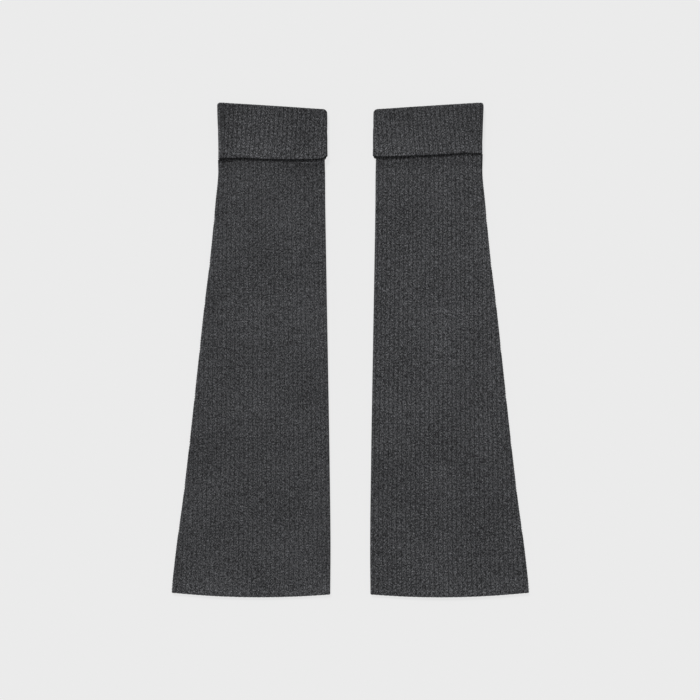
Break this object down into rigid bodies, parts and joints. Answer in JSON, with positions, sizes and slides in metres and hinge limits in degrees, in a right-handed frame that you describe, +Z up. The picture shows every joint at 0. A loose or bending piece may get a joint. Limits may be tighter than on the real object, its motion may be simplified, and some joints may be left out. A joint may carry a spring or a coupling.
{
  "type": "pair of leg warmers",
  "caption": "Long flared rib-knit tubes for the lower legs, laid flat side by side, with slanting tops turned down as cuffs and shallow curved hems",
  "frame": {"origin": "on the surface the pair lies on, at the centre of the pair's outline, midway between the leg warmers", "axes": "+Y along the legs towards the turned-down cuffs, +X across the pair to the right one, +Z up from the surface"},
  "size_m": [0.3476, 0.48, 0.0075],
  "materials": {
    "leg_rib_knit": "matte charcoal marl rib knit, right side out",
    "cuff_rib_knit": "matte charcoal marl rib knit, wrong side out where the top is turned down",
    "seam_thread": "dull dark overlock thread of the side seams"
  },
  "bodies": {
    "root": {"left_leg_front": "leg_rib_knit", "left_leg_back": "leg_rib_knit", "left_cuff_front": "cuff_rib_knit", "left_cuff_back": "cuff_rib_knit", "right_leg_front": "leg_rib_knit", "right_leg_back": "leg_rib_knit", "right_cuff_front": "cuff_rib_knit", "right_cuff_back": "cuff_rib_knit"}
  },
  "joints": []
}
